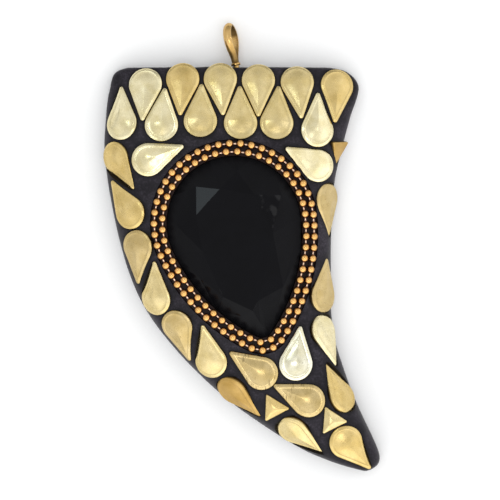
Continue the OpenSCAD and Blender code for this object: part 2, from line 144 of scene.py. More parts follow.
class HornSettings(bpy.types.PropertyGroup):
    length: size("Length", "Length of the horn from its top edge to its tip", 76.8137)
    top_share: share("Top share", "Part of the length that lies above the frame's origin", 0.4436)
    wall_height: size("Wall height", "Height of the side wall below the dome", 2.4)
    crown_height: size("Crown height", "Rise of the domed front above the wall", 6.2)
    back_round: size("Back rounding", "Rounding along the edge of the back", 0.8)
    edge_round: size("Edge rounding", "Rounding of the top edge and of the tip", 0.5)
    grain: size("Point spacing", "Distance between the points of the front", 0.3)
    girth: share("Girth", "Longest run over the walls and the front, as a share of the length", 0.755)
    ripple: size("Ripple", "Depth of the soft hand worked ripple", 0.03)
    ripple_length: size("Ripple length", "Distance from wave to wave of the ripple", 5)
    pocket_play: size("Pocket play", "Gap between a brass piece and the resin", 0.05)
    channel_depth: size("Channel depth", "Depth of the chain's channel", 0.44)
    stone_floor: size("Stone floor", "Height of the pocket's floor under the stone", 5.2)
    stone_inset: size("Stone inset", "Distance of the stone's pocket from the edge of the channel", 3.12)
    # Painted shade: within this distance of the brass the light dust fades out, so the joints stay dark.
    bare: size("Bare resin", "Distance from the brass where the sanding and dust are full", 0.9)
    resin: tint("Resin", "Colour of the cast resin", (0.0045, 0.0038, 0.0055))
    dust: tint("Dust", "Colour of the sanding marks and the dust in them", (0.11, 0.095, 0.125))
    # Dark red-brown colour of the floor of the chain's channel.
    glue: tint("Glue", "Colour of the glue left in the chain's channel", (0.016, 0.006, 0.005))
    dustiness: share("Dustiness", "How strongly the sanding marks and the dust show", 0.65)
    relief: size("Relief", "Depth of the leathery surface", 0.035)


class InlaySettings(bpy.types.PropertyGroup):
    depth: size("Depth", "Depth of a piece below the resin", 0.65)
    rim: size("Rim", "Height of the upright rim above the resin", 0.25)
    taper: size("Taper", "How much the foot of a drop is drawn in", 0.12)
    triangle_taper: size("Triangle taper", "How much the foot of a triangle is drawn in", 0.07)
    rim_round: size("Rim rounding", "Width of the rounding along the rim", 0.12)
    crest_round: size("Crest rounding", "Width of the rounding between border and dome", 0.05)
    border: size("Border", "Width of the sloping border", 0.55)
    border_rise: size("Border rise", "Rise of the sloping border", 0.28)
    groove: size("Groove", "Depth of the faint groove inside the border", 0.035)
    dome_rise: size("Dome rise", "Rise of the soft dome inside the border", 0.34)
    dome_shift: size("Dome shift", "Distance of the dome's top from the middle of the round end", 0.35)
    tip_radius: size("Tip radius", "Radius of a drop's tip", 0.45)
    dent: size("Dents", "Depth of the soft dents of each piece", 0.03)
    dent_length: size("Dent length", "Distance from dent to dent", 4.5)
    rounder: share("Rounder", "How much further the dome of a rounder filed drop rises", 0.35)
    beaten: share("Beaten", "Slope of the flat beaten across a round end", 0.075)
    beaten_edge: size("Beaten edge", "Distance of that flat's edge from the middle of the round end", 0.4)
    mid: tint("Mid brass", "Colour of most pieces", (0.79, 0.65, 0.34))
    # The pale and dull colours also paint light and shade onto single pieces: pale ones lighter, dull ones
    # darker.
    pale: tint("Pale brass", "Colour of the pale pieces", (0.91, 0.83, 0.56))
    dull: tint("Dull brass", "Colour of the dull pieces", (0.64, 0.50, 0.25))
    golden: tint("Golden brass", "Colour of the golden pieces", (0.77, 0.59, 0.26))
    orange: tint("Orange brass", "Colour of the orange pieces", (0.60, 0.40, 0.14))
    silver: tint("Silver brass", "Colour of the silvery piece", (0.87, 0.85, 0.70))
    # Besides colouring the dark specks, this colour paints the shade on the walls down in the pockets and
    # on parts of the bail's loop.
    tarnish: tint("Tarnish", "Colour of the tarnish in corners and specks", (0.06, 0.035, 0.012))


class ChainSettings(bpy.types.PropertyGroup):
    ball: size("Ball", "Diameter of a ball", 1.48)
    bore: size("Bore", "Diameter of the hole in a ball", 0.56)
    pin: size("Pin", "Diameter of a pin", 0.42)
    pin_hold: size("Pin hold", "Length of a pin that both its balls hide", 0.5)
    metal: tint("Metal", "Colour of the balls", (0.86, 0.49, 0.17))
    pin_metal: tint("Pin metal", "Colour of the pins", (0.95, 0.68, 0.50))
    # Painted shade: the flanks, lower halves and bores of the balls and the outer parts of the pins are
    # darkened towards this colour; it also colours the balls' dark specks.
    shade: tint("Shade", "Colour of the tarnish on the lower half of the balls", (0.11, 0.022, 0.005))


class StoneSettings(bpy.types.PropertyGroup):
    edge: size("Edge", "Width of the worn edges between facets", 0.035)
    dull_height: size("Dull height", "Height above the girdle up to which the glass is dull", 1.5)
    dull_fade: size("Dull fade", "Height over which the dull glass turns fully dull", 1.2)
    wave: size("Wave", "Depth of the soft waves that polishing left on the facets", 0.06)
    glass: tint("Glass", "Colour of the black glass", (0.0015, 0.0015, 0.002))
    smoke: tint("Smoke", "Colour of the faint clouds in the glass", (0.003, 0.003, 0.0045))


class BailSettings(bpy.types.PropertyGroup):
    foot: spot("Foot", "Where the peg leaves the horn's top edge", (-0.883, 34.075, 2.316))
    lean: turned("Lean", "Lean toward the straight side of the horn", 10.6)
    turn: turned("Turn", "Turn of the loop about the peg", 24)
    height: size("Loop height", "Height of the strip loop", 7.8)
    depth: size("Loop depth", "Depth of the strip loop from front to back", 3.9)
    width: size("Strip width", "Width of the strip", 1.6)
    foot_width: size("Foot width", "Width of the strip at the foot of the loop", 1.25)
    thickness: size("Strip thickness", "Thickness of the strip in its middle", 0.6)
    edge: size("Strip edge", "Thickness of the strip at its edges", 0.24)
    neck: size("Neck", "Height of the neck under the loop", 0.9)
    peg: size("Peg", "Diameter of the peg", 1.1)
    peg_length: size("Peg length", "Length of the peg inside the horn", 3.6)
    collar: size("Collar", "Diameter of the collar", 1.8)
    collar_height: size("Collar height", "Height of the collar", 0.5)
    metal: tint("Metal", "Colour of the bail", (0.76, 0.50, 0.20))


class StageSettings(bpy.types.PropertyGroup):
    lens: FloatProperty(name="Lens", description="Focal length of the camera in millimetres", default=300,
                        min=1)
    frame_width: size("Frame width", "Width of the picture at the pendant", 95)
    middle: spot("Middle", "Point at the middle of the picture", (1.71, -0.665, 5))
    floor: tint("Floor", "Colour of the floor", (0.96, 0.96, 0.96))
    ambient: FloatProperty(name="Ambient", description="Strength of the light from all sides", default=0.9,
                           min=0)
    key: power("Key light", "Power of the upper left light", 0.09)
    side: power("Side light", "Power of the right light", 0.03)
    window: power("Window", "Power of the wide soft light above", 0.17)


# Modelling helpers


def select_none():
    bpy.ops.object.select_all(action="DESELECT")


def alone(obj):
    """Leaves obj the only selected and the active object."""
    select_none()
    obj.select_set(True)
    bpy.context.view_layer.objects.active = obj
    return obj


def added(name):
    """Names the object that an operator has just added."""
    obj = bpy.context.active_object
    obj.name = obj.data.name = name
    return obj


def points_of(obj):
    co = np.zeros(len(obj.data.vertices) * 3)
    obj.data.vertices.foreach_get("co", co)
    return co.reshape(-1, 3)


def set_points(obj, points):
    obj.data.vertices.foreach_set("co", np.asarray(points, float).ravel())
    obj.data.update()


def select_where(obj, kind, test):
    """In edit mode, selects just the vertices, edges or faces that pass the test, and returns how many."""
    bpy.ops.mesh.select_all(action="DESELECT")
    bpy.context.tool_settings.mesh_select_mode = tuple(kind == k for k in ("verts", "edges", "faces"))
    shape = bmesh.from_edit_mesh(obj.data)
    count = 0
    for part in getattr(shape, kind):
        if test(part):
            part.select_set(True)
            count += 1
    shape.select_flush_mode()
    bmesh.update_edit_mesh(obj.data)
    return count


def merge_all(obj):
    """Enters edit mode and merges doubles. All of the piece is selected then."""
    alone(obj)
    bpy.ops.object.mode_set(mode="EDIT")
    bpy.ops.mesh.select_all(action="SELECT")
    bpy.ops.mesh.remove_doubles(threshold=1e-6)
    bpy.ops.mesh.select_all(action="SELECT")


def turn_out():
    """Points all faces outwards and leaves edit mode."""
    bpy.ops.mesh.select_all(action="SELECT")
    bpy.ops.mesh.normals_make_consistent(inside=False)
    bpy.ops.object.mode_set(mode="OBJECT")


def smooth(obj, degrees):
    alone(obj)
    bpy.ops.object.shade_smooth_by_angle(angle=math.radians(degrees))


def ride(piece, slot, *nodes):
    """Fixes a finished piece to the pendant's body in the place of its CAD nodes."""
    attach(piece, BODY)
    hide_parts(*nodes)


def ripple(points, wavelength, seed, waves=9):
    """Smooth bumps between -1 and 1 at the given points."""
    draw = np.random.default_rng(seed)
    way = draw.normal(size=(waves, 3))
    way *= 2 * math.pi / (wavelength * np.linalg.norm(way, axis=1, keepdims=True))
    way *= draw.uniform(0.6, 1.4, (waves, 1))
    return np.sin(points @ way.T + draw.uniform(0, 2 * math.pi, waves)).mean(axis=1) * 1.8


def mark(piece, name, values):
    """Stores a value at each point of a piece, for its material."""
    piece.data.attributes.new(name, "FLOAT", "POINT").data.foreach_set("value", values)


def joined(name, pieces):
    """Joins pieces into one object."""
    alone(pieces[0])
    for piece in pieces:
        piece.select_set(True)
    bpy.ops.object.join()
    return added(name)


def copy_of(master, matrix):
    """A copy of a modelled piece with a mesh of its own, placed by its mesh."""
    piece = master.copy()
    piece.data = master.data.copy()
    piece.data.transform(matrix)
    bpy.context.collection.objects.link(piece)
    return piece


def remove(obj):
    mesh = obj.data
    bpy.data.objects.remove(obj)
    bpy.data.meshes.remove(mesh)


# Shape of the horn


def smooth_curve(at, values, where):
    """Values between the rows of a table, one row of values for each place in at, on a smooth curve."""
    row = np.arange(len(at))
    before, after = np.maximum(row - 1, 0), np.minimum(row + 1, len(at) - 1)
    slope = (values[after] - values[before]) / (at[after] - at[before])[:, None]
    i = np.clip(np.searchsorted(at, where, side="right") - 1, 0, len(at) - 2)
    span = (at[i + 1] - at[i])[..., None]
    t = (where - at[i])[..., None] / span
    return (values[i] * (1 + 2 * t) * (1 - t) ** 2 + values[i + 1] * (3 - 2 * t) * t ** 2
            + span * t * (1 - t) * (slope[i] * (1 - t) - slope[i + 1] * t))


def section(column, down):
    """A column of SECTIONS at any distance down."""
    return smooth_curve(SECTIONS[:, DOWN], SECTIONS[:, column, None], np.clip(down, 0, 1))[..., 0]


def dome(horn, down, u):
    """Height of the front, where u runs from -1 at its left edge to 1 at its right edge."""
    arch = np.sqrt(np.maximum(0, 1 - u ** 4))
    return horn.wall_height + horn.crown_height * section(CROWN, down) * arch


def front(horn, x, y):
    """Height of the domed front over points x, y."""
    down = horn.top_share - y / horn.length
    left, right = section(LEFT, down) * horn.length, section(RIGHT, down) * horn.length
    return dome(horn, down, np.clip((2 * x - left - right) / (right - left), -1, 1))


def steepness(horn, x, y):
    """How much longer a height above the sloping front is than its square distance."""
    step = 0.08 * MM
    along = (front(horn, x + step, y) - front(horn, x - step, y)) / (2 * step)
    across = (front(horn, x, y + step) - front(horn, x, y - step)) / (2 * step)
    return np.sqrt(1 + np.minimum(along ** 2 + across ** 2, 4))


def horn_ring(horn, d, spread):
    """Section of the horn at the distance d from the top edge. Its points start and end in the middle of
    the back. Spread tells how many lie on half the back, its rounding, the walls with the front, the other
    rounding and the other half."""
    down = d / horn.length
    left, right = section(LEFT, down) * horn.length, section(RIGHT, down) * horn.length
    half = (right - left) / 2
    edge = min(horn.back_round, half / 2)
    turn = np.linspace(0, math.pi / 2, 9)
    round_x, round_z = edge * (1 - np.cos(turn)), edge * (1 - np.sin(turn))
    u = -np.cos(np.linspace(0, math.pi, 241))
    middle = left + half
    x = np.concatenate([[middle], left + round_x[::-1], middle + half * u, right - round_x, [middle]])
    z = np.concatenate([[0], round_z[::-1], dome(horn, down, u), round_z, [0]])
    run = np.concatenate([[0], np.cumsum(np.hypot(np.diff(x), np.diff(z)))])
    stops = run[[0, 1, len(turn), len(turn) + len(u) + 1, len(x) - 2, len(x) - 1]]
    steps = [np.linspace(stops[k], stops[k + 1], n + 1)[1:] for k, n in enumerate(spread)]
    at = np.concatenate([[0]] + steps)
    z = np.interp(at, run, z)
    end = min(d, horn.length - d)
    if end < horn.edge_round:
        fall = horn.edge_round - math.sqrt(horn.edge_round ** 2 - (horn.edge_round - end) ** 2)
        z = 0.7 * fall + z * (1 - 1.7 * fall / z.max())
    return np.column_stack([np.interp(at, run, x), np.full(len(at), horn.top_share * horn.length - d), z])


class Pear:
    """The pear shaped field of the chain and the stone, in plan. Its sizes are shares of the horn's
    length."""

    middle, direction = (-0.0173, 0.0574), math.radians(-74.86)
    round_r, tip_r, side_r, reach = 0.2069, 0.0699, 0.4754, 0.2627

    def __init__(self, length):
        self.length = length
        to_round, to_tip = self.side_r - self.round_r, self.side_r - self.tip_r
        side_x = (to_round ** 2 - to_tip ** 2 + self.reach ** 2) / (2 * self.reach)
        self.side = np.array([side_x, -math.sqrt(to_round ** 2 - side_x ** 2)])
        self.tip_end = math.atan2(-self.side[1], self.reach - self.side[0])
        self.side_end = math.atan2(-self.side[1], -self.side[0])

    def inset(self, x, y):
        """Distance inward from the outline, and the outward direction there."""
        cosine, sine = math.cos(self.direction), math.sin(self.direction)
        dx, dy = x / self.length - self.middle[0], y / self.length - self.middle[1]
        p = np.column_stack([dx * cosine + dy * sine, -dx * sine + dy * cosine])
        flip = np.where(p[:, 1] < 0, -1.0, 1.0)
        p[:, 1] *= flip
        from_side = p - self.side
        angle = np.arctan2(from_side[:, 1], from_side[:, 0])
        on_tip, on_round = angle < self.tip_end, angle > self.side_end
        centre = np.where(on_tip[:, None], (self.reach, 0), np.where(on_round[:, None], (0, 0), self.side))
        radius = np.where(on_tip, self.tip_r, np.where(on_round, self.round_r, self.side_r))
        ray = p - centre
        far = np.maximum(np.linalg.norm(ray, axis=1), 1e-9)
        ray /= far[:, None]
        ray[:, 1] *= flip
        outward = ray @ np.array([(cosine, sine), (-sine, cosine)])
        return (radius - far) * self.length, outward


# Seats of the brass pieces


def triangles_of(obj):
    """Corner points of a CAD node's triangles."""
    obj.data.calc_loop_triangles()
    index = np.zeros(len(obj.data.loop_triangles) * 3, int)
    obj.data.loop_triangles.foreach_get("vertices", index)
    return points_of(obj)[index.reshape(-1, 3)]


def seat_axes(node, depth, corners):
    """Seat of a brass piece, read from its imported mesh: a matrix from its own frame, whose z = 0 is the
    resin's surface, and its length and width. The flat underside gives its lie, its outline the rest."""
    faces = triangles_of(NODES[node])
    normal = np.cross(faces[:, 1] - faces[:, 0], faces[:, 2] - faces[:, 0])
    area = np.linalg.norm(normal, axis=1)
    normal /= np.maximum(area[:, None], 1e-15)
    together = (normal @ normal.T > 0.99999) @ area
    up = -normal[np.argmax(together)]
    points = np.unique(np.round(faces.reshape(-1, 3), 8), axis=0)
    height = points @ up
    flat = points - height[:, None] * up
    if corners == 3:
        rim = flat[height > height.min() + depth]
        rim = rim[np.argsort(-np.linalg.norm(rim - rim.mean(axis=0), axis=1))[:6]]
        middle = rim.mean(axis=0)
        gap = np.linalg.norm(rim[:, None] - rim[None], axis=2) + np.eye(6)
        a, b = np.unravel_index(np.argmin(gap), gap.shape)
        ahead = (rim[a] + rim[b]) / 2 - middle
        long = wide = np.linalg.norm(ahead)
        ahead /= long
    else:
        gap = np.linalg.norm(flat[:, None] - flat[None], axis=2)
        a, b = np.unravel_index(np.argmax(gap), gap.shape)
        centre = flat.mean(axis=0)
        end, tip = sorted((flat[a], flat[b]), key=lambda p: np.linalg.norm(p - centre))
        long = np.linalg.norm(tip - end)
        ahead = (tip - end) / long
        wide = 2 * np.abs((flat - end) @ np.cross(up, ahead)).max()
        middle = end + ahead * wide / 2
    side = np.cross(up, ahead)
    origin = middle + up * (height.min() + depth)
    matrix = Matrix([[*row, origin[i]] for i, row in enumerate(zip(ahead, side, up))] + [[0, 0, 0, 1]])
    return matrix, long, wide


def drop_distance(p, long, wide, tip_radius):
    """Distance outside a drop's outline and the outward direction there, for points in the drop's frame."""
    r = wide / 2
    reach = long - r - tip_radius
    sine = (r - tip_radius) / reach
    cosine = math.sqrt(1 - sine * sine)
    x, y = p[:, 0], np.abs(p[:, 1])
    along = cosine * x - sine * y
    at_tip = along > cosine * reach
    rounded = at_tip | (along < 0)
    ray = np.column_stack([x - np.where(at_tip, reach, 0), y])
    far = np.maximum(np.hypot(ray[:, 0], ray[:, 1]), 1e-9)
    way = np.where(rounded[:, None], ray / far[:, None], (sine, cosine))
    way[:, 1] *= np.where(p[:, 1] < 0, -1, 1)
    return np.where(rounded, far - np.where(at_tip, tip_radius, r), cosine * y + sine * x - r), way


def triangle_distance(p, corner):
    """The same for a triangle whose corners lie at that distance from its middle."""
    ways = np.array([(math.cos(a), math.sin(a)) for a in (math.pi / 3, math.pi, -math.pi / 3)])
    out = p @ ways.T - corner / 2
    side = out.argmax(axis=1)
    return out.max(axis=1), ways[side]


def sink_pocket(points, matrix, distance, depth, play, reach):
    """Lowers the points inside an outline to the floor of its pocket, draws those beside it to its edge,
    and returns the distance of each point from the outline."""
    axes = np.array(matrix)
    local = (points - axes[:3, 3]) @ axes[:3, :3]
    far, way = distance(local[:, :2])
    near = (local[:, 2] > -depth) & (local[:, 2] < 3 * MM)
    edge = near & (np.abs(far) < reach)
    inside = near & (far <= -reach)
    local[edge, :2] += (play - far[edge])[:, None] * way[edge]
    local[inside, 2] = -depth
    moved = edge | inside
    points[moved] = (local @ axes[:3, :3].T + axes[:3, 3])[moved]
    return np.where(near, np.maximum(far, 0), np.inf)


def pocket_outline(node, inlay):
    """Seat of a brass piece, and the function that measures from its outline."""
    corners = 1 if node.startswith("drop_") else 3
    matrix, long, wide = seat_axes(node, inlay.depth, corners)

    def distance(points):
        if corners == 3:
            return triangle_distance(points, long)
        return drop_distance(points, long, wide, inlay.tip_radius)

    return matrix, distance


# Node helpers


def wire(tree, kind, links=None, **settings):
    """Adds a node, sets it up and fills or links its inputs."""
    node = tree.nodes.new(kind)
    node.location = (200 * len(tree.nodes), 0)
    for key, value in settings.items():
        setattr(node, key, value)
    for key, value in (links or {}).items():
        if isinstance(value, bpy.types.NodeSocket):
            tree.links.new(value, node.inputs[key])
        else:
            node.inputs[key].default_value = value
    return node


def mixed(tree, factor, a, b, blend="MIX"):
    """Mixes two colours."""
    return wire(tree, "ShaderNodeMix", {0: factor, 6: a, 7: b}, data_type="RGBA",
                blend_type=blend).outputs[2]


def maths(tree, operation, a, b=0.0, clamp=False):
    return wire(tree, "ShaderNodeMath", {0: a, 1: b}, operation=operation, use_clamp=clamp).outputs[0]


def times(tree, a, b):
    return maths(tree, "MULTIPLY", a, b)


def grey(tree, value):
    return wire(tree, "ShaderNodeCombineColor", {0: value, 1: value, 2: value}).outputs[0]


def marked(tree, name):
    """The value that a piece's points store under a name."""
    return wire(tree, "ShaderNodeAttribute", attribute_name=name).outputs["Fac"]


def ramped(tree, value, low, high, to_low=0.0, to_high=1.0):
    """Carries a value from one range to another, held at its ends."""
    return wire(tree, "ShaderNodeMapRange", {0: value, 1: low, 2: high, 3: to_low, 4: to_high}).outputs[0]


def noise(tree, vector, scale, detail=2.0, roughness=0.5):
    return wire(tree, "ShaderNodeTexNoise", {"Vector": vector, "Scale": scale, "Detail": detail,
                                             "Roughness": roughness}).outputs["Fac"]


def millimetres(tree, stretch=(1, 1, 1), turn=0.0):
    """The object's own coordinates in millimetres, stretched and turned."""
    place = wire(tree, "ShaderNodeTexCoord").outputs["Object"]
    return wire(tree, "ShaderNodeMapping", {"Vector": place, "Rotation": (0, 0, turn),
                                            "Scale": tuple(k / MM for k in stretch)}).outputs[0]


def new_group(name, inputs, outputs):
    """A node group with typed inputs, given as name and default, and typed outputs."""
    tree = bpy.data.node_groups.new(name, "ShaderNodeTree")
    for label, default in inputs:
        kind = "NodeSocketFloat" if isinstance(default, float) else "NodeSocketColor"
        socket = tree.interface.new_socket(label, in_out="INPUT", socket_type=kind)
        socket.default_value = default if isinstance(default, float) else (*default, 1)
    for label in outputs:
        kind = "NodeSocketColor" if label == "Color" else "NodeSocketFloat"
        tree.interface.new_socket(label, in_out="OUTPUT", socket_type=kind)
    return tree, tree.nodes.new("NodeGroupInput").outputs, tree.nodes.new("NodeGroupOutput").inputs


def worn_metal_group():
    """Worn, tumbled metal: cloudy colour, dark specks, fine scratches, and painted shade, a darkening
    towards the tarnish colour where the points store a border near 1."""
    name = "worn_metal"
    if name in bpy.data.node_groups:
        return bpy.data.node_groups[name]
    tree, given, out = new_group(name, [
        ("Metal", (0.7, 0.6, 0.3)), ("Tarnish", (0.06, 0.04, 0.01)), ("Clouds", 0.5), ("Specks", 0.3),
        ("Scratches", 0.5), ("Strokes", 0.0), ("Base Roughness", 0.35)], ["Color", "Roughness", "Height"])
    place = millimetres(tree)
    cloud = ramped(tree, noise(tree, place, 0.33, 3.0, 0.55), 0.3, 0.7)
    warm = mixed(tree, 1.0, given["Metal"], (0.76, 0.71, 0.54, 1), "MULTIPLY")
    cloudy = mixed(tree, times(tree, cloud, given["Clouds"]), given["Metal"], warm)
    grain = ramped(tree, noise(tree, place, 5.5, 3.0, 0.7), 0.35, 0.75, 0.9, 1.08)
    grained = mixed(tree, 1.0, cloudy, grey(tree, grain), "MULTIPLY")

    patch = ramped(tree, noise(tree, place, 0.5, 1.0), 0.45, 0.62)
    speck = times(tree, ramped(tree, noise(tree, place, 4.2, 4.0, 0.65), 0.6, 0.68), patch)
    speck = maths(tree, "MULTIPLY", speck, given["Specks"], clamp=True)
    stroke = ramped(tree, noise(tree, millimetres(tree, (2.4, 0.35, 1), 0.12), 1.0, 3.0, 0.6), 0.53, 0.62)
    stroke = times(tree, stroke, ramped(tree, noise(tree, place, 0.36, 2.0), 0.48, 0.58))
    dark = maths(tree, "MAXIMUM", speck, times(tree, stroke, given["Strokes"]))
    # Painted shade: the border that the points store darkens the metal towards the tarnish colour, on top
    # of the real specks and strokes.
    dark = maths(tree, "MAXIMUM", dark, marked(tree, "border"), clamp=True)
    tree.links.new(mixed(tree, dark, grained, given["Tarnish"]), out["Color"])

    polish = ramped(tree, noise(tree, place, 1.1, 3.0), 0.3, 0.7, -0.06, 0.08)
    rough = maths(tree, "ADD", given["Base Roughness"], polish)
    rough = maths(tree, "ADD", rough, times(tree, dark, 0.3), clamp=True)
    tree.links.new(rough, out["Roughness"])

    lines = ramped(tree, noise(tree, millimetres(tree, (9, 0.5, 1), 0.9), 0.9, 2.0), 0.62, 0.7)
    others = ramped(tree, noise(tree, millimetres(tree, (0.4, 8, 1), 0.35), 1.1, 2.0), 0.64, 0.72)
    scratch = times(tree, maths(tree, "MAXIMUM", lines, others), given["Scratches"])
    worn = times(tree, noise(tree, place, 1.3, 3.0), 0.8)
    high = maths(tree, "SUBTRACT", worn, times(tree, scratch, 0.15))
    tree.links.new(maths(tree, "SUBTRACT", high, times(tree, speck, 0.5)), out["Height"])
    return tree


def sanded_resin_group():
    """Black resin, sanded by hand: faint purple clouds, light specks and hair lines that fade out next to
    the brass, leaving painted shade in the joints; the channel's dark red-brown where the points store the
    channel tint; and a leathery height."""
    name = "sanded_resin"
    if name in bpy.data.node_groups:
        return bpy.data.node_groups[name]
    tree, given, out = new_group(name, [
        ("Resin", (0.01, 0.01, 0.01)), ("Dust", (0.1, 0.1, 0.1)), ("Glue", (0.04, 0.01, 0.005)),
        ("Amount", 0.5)], ["Color", "Roughness", "Height"])
    place = millimetres(tree)
    cloud = ramped(tree, noise(tree, place, 0.22, 3.0, 0.6), 0.35, 0.7, 0.25, 1.0)
    specks = ramped(tree, noise(tree, place, 3.0, 4.0, 0.75), 0.45, 0.7, 0.25, 1.0)
    hair = ramped(tree, noise(tree, millimetres(tree, (0.35, 7, 1), 0.6), 1.0, 3.0), 0.6, 0.74)
    dust = times(tree, maths(tree, "MAXIMUM", specks, hair), cloud)
    # Painted shade: the dust fades out next to the brass, leaving the joints dark.
    dust = maths(tree, "MULTIPLY", times(tree, dust, given["Amount"]), marked(tree, "open"), clamp=True)
    dusty = mixed(tree, dust, given["Resin"], given["Dust"])
    # The chain's channel floor takes the channel tint where the points store it.
    tree.links.new(mixed(tree, marked(tree, "glue"), dusty, given["Glue"]), out["Color"])
    sheen = ramped(tree, cloud, 0.0, 1.0, 0.3, 0.48)
    tree.links.new(maths(tree, "ADD", sheen, times(tree, dust, 0.3), clamp=True), out["Roughness"])
    creases = noise(tree, place, 0.9, 4.0, 0.6)
    tree.links.new(maths(tree, "ADD", creases, times(tree, dust, 0.25)), out["Height"])
    return tree


def new_material(name):
    """An empty node material and its Principled BSDF."""
    made = bpy.data.materials.new(name)
    made.use_nodes = True
    tree = made.node_tree
    tree.nodes.clear()
    shader = wire(tree, "ShaderNodeBsdfPrincipled")
    wire(tree, "ShaderNodeOutputMaterial", {"Surface": shader.outputs[0]})
    return made, tree, shader


def grouped(tree, shader, group, values, height):
    """Places a group in a material and feeds the shader from it."""
    node = tree.nodes.new("ShaderNodeGroup")
    node.node_tree = group
    for key, value in values.items():
        node.inputs[key].default_value = value if isinstance(value, float) else (*value, 1)
    tree.links.new(node.outputs["Color"], shader.inputs["Base Color"])
    tree.links.new(node.outputs["Roughness"], shader.inputs["Roughness"])
    bumped(tree, shader, node.outputs["Height"], height)


def bumped(tree, shader, height, depth):
    """Gives a shader a relief of the given depth."""
    bump = wire(tree, "ShaderNodeBump", {"Height": height, "Strength": 1.0, "Distance": depth})
    tree.links.new(bump.outputs[0], shader.inputs["Normal"])


def metal_material(name, colour, tarnish, roughness, specks=0.3, strokes=0.0, clouds=0.85, scratches=0.5,
                   height=0.02 * MM):
    if name in bpy.data.materials:
        return bpy.data.materials[name]
    made, tree, shader = new_material(name)
    shader.inputs["Metallic"].default_value = 1
    grouped(tree, shader, worn_metal_group(), {
        "Metal": tuple(colour), "Tarnish": tuple(tarnish), "Clouds": clouds, "Specks": specks,
        "Scratches": scratches, "Strokes": strokes, "Base Roughness": roughness}, height)
    return made


def set_material(obj, made):
    obj.data.materials.clear()
    obj.data.materials.append(made)


# Pieces


class PENDANT_OT_horn(bpy.types.Operator):
    """Models the resin horn with its pockets and its chain channel"""

    bl_idname = "pendant.horn"
    bl_label = "Resin horn"

    def execute(self, context):
        horn, inlay = context.scene.pendant_horn, context.scene.pendant_inlay
        spread = (14, 5, int(horn.girth * horn.length / horn.grain), 5, 14)
        near = horn.edge_round * (1 - np.cos(np.linspace(0, math.pi / 2, 7)))
        middle = np.linspace(near[-1], horn.length - near[-1], int(horn.length / horn.grain))
        rows = np.concatenate([near[:-1], middle, (horn.length - near[:-1])[::-1]])
        rings = np.array([horn_ring(horn, d, spread) for d in rows])
        select_none()
        bpy.ops.mesh.primitive_grid_add(x_subdivisions=rings.shape[1] - 1, y_subdivisions=len(rings) - 1,
                                        size=1)
        piece = added("resin_horn")
        grid = points_of(piece)
        if 3 * len(grid) != rings.size:
            raise RuntimeError(f"the grid has {len(grid)} points and not {rings.size // 3}")
        order = np.argsort(np.lexsort((grid[:, 0], -grid[:, 1])))
        points = rings.reshape(-1, 3)
        marks = self.work_front(points, horn, inlay)
        set_points(piece, points[order])
        for name, values in marks.items():
            mark(piece, name, values[order])
        merge_all(piece)
        bpy.ops.mesh.quads_convert_to_tris(quad_method="SHORTEST_DIAGONAL")
        bpy.ops.mesh.fill_holes(sides=0)
        turn_out()
        smooth(piece, 38)
        made, tree, shader = new_material("black_resin")
        shader.inputs["Specular IOR Level"].default_value = 0.15
        grouped(tree, shader, sanded_resin_group(), {
            "Resin": tuple(horn.resin), "Dust": tuple(horn.dust), "Glue": tuple(horn.glue),
            "Amount": horn.dustiness}, horn.relief)
        set_material(piece, made)
        ride(piece, "resin", "horn_body")
        return {"FINISHED"}

    def work_front(self, points, horn, inlay):
        """Ripples the front, then sinks the channel, the stone's pocket and the pockets of the brass, and
        returns where the channel is tinted, and how far each point lies out of the painted shade beside the
        brass."""
        raised = points[:, 2] > horn.wall_height
        points[raised, 2] += horn.ripple * ripple(points[raised], horn.ripple_length, SEED)
        reach = 0.52 * horn.grain
        pear = Pear(horn.length)
        for edge in (0.0, horn.stone_inset):
            inset, way = pear.inset(points[:, 0], points[:, 1])
            close = raised & (np.abs(inset - edge) < reach)
            points[close, :2] += (inset[close] - edge)[:, None] * way[close]
        inset, way = pear.inset(points[:, 0], points[:, 1])
        channel = raised & (inset > 0.5 * reach)
        fall = horn.channel_depth * steepness(horn, points[:, 0], points[:, 1])
        points[channel, 2] = (front(horn, points[:, 0], points[:, 1]) - fall)[channel]
        points[raised & (inset > horn.stone_inset + 0.5 * reach), 2] = horn.stone_floor
        bare = np.full(len(points), horn.bare)
        for node in NODES:
            if node.startswith(("drop_", "triangle_")):
                matrix, distance = pocket_outline(node, inlay)
                depth = inlay.depth + horn.pocket_play
                far = sink_pocket(points, matrix, distance, depth, horn.pocket_play, reach)
                bare = np.minimum(bare, far)
        return {"glue": np.where(channel, 1.0, 0.0), "open": np.clip(bare / horn.bare, 0, 1)}


def drop_ring(long, wide, tip_radius, inset, steps=(40, 20, 12)):
    """Outline of a drop drawn in by an inset: round end, side, tip, side."""
    r = wide / 2
    lean = math.asin((r - tip_radius) / (long - r - tip_radius))
    r_in, tip_in = r - inset, max(tip_radius - inset, 0.05 * MM)
    x_in = (r_in - tip_in) / math.sin(lean)
    start = math.pi / 2 - lean
    turn = np.linspace(start, 2 * math.pi - start, steps[0] + 1)
    end = r_in * np.column_stack([np.cos(turn), np.sin(turn)])
    turn = np.linspace(-start, start, steps[2] + 1)
    tip = np.column_stack([x_in + tip_in * np.cos(turn), tip_in * np.sin(turn)])
    t = np.linspace(0, 1, steps[1] + 1)[1:-1, None]
    return np.concatenate([end, end[-1] + t * (tip[0] - end[-1]), tip, tip[-1] + t * (end[0] - tip[-1])])


